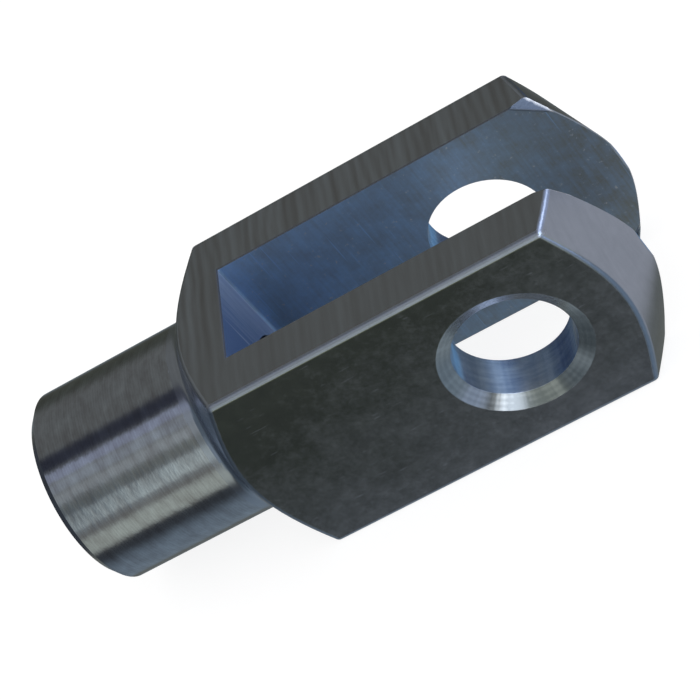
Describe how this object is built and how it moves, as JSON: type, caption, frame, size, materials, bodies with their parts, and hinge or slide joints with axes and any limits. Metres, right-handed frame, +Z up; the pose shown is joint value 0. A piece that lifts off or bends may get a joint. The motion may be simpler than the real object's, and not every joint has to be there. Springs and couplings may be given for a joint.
{
  "type": "clevis rod end",
  "caption": "Fork head of square steel bar with a turned, internally threaded neck, a milled slot and a cross bore for a clevis pin.",
  "frame": {"origin": "middle of the pin bore, halfway between the two cheeks", "axes": "+X along the rod towards the open end of the fork, +Y along the pin, +Z up out of the slot"},
  "size_m": [0.073, 0.027, 0.027],
  "materials": {
    "zinc_plated_steel": "bright zinc plated and blue passivated, with turning and milling marks"
  },
  "bodies": {
    "root": {"fork_head": "zinc_plated_steel"}
  },
  "joints": []
}
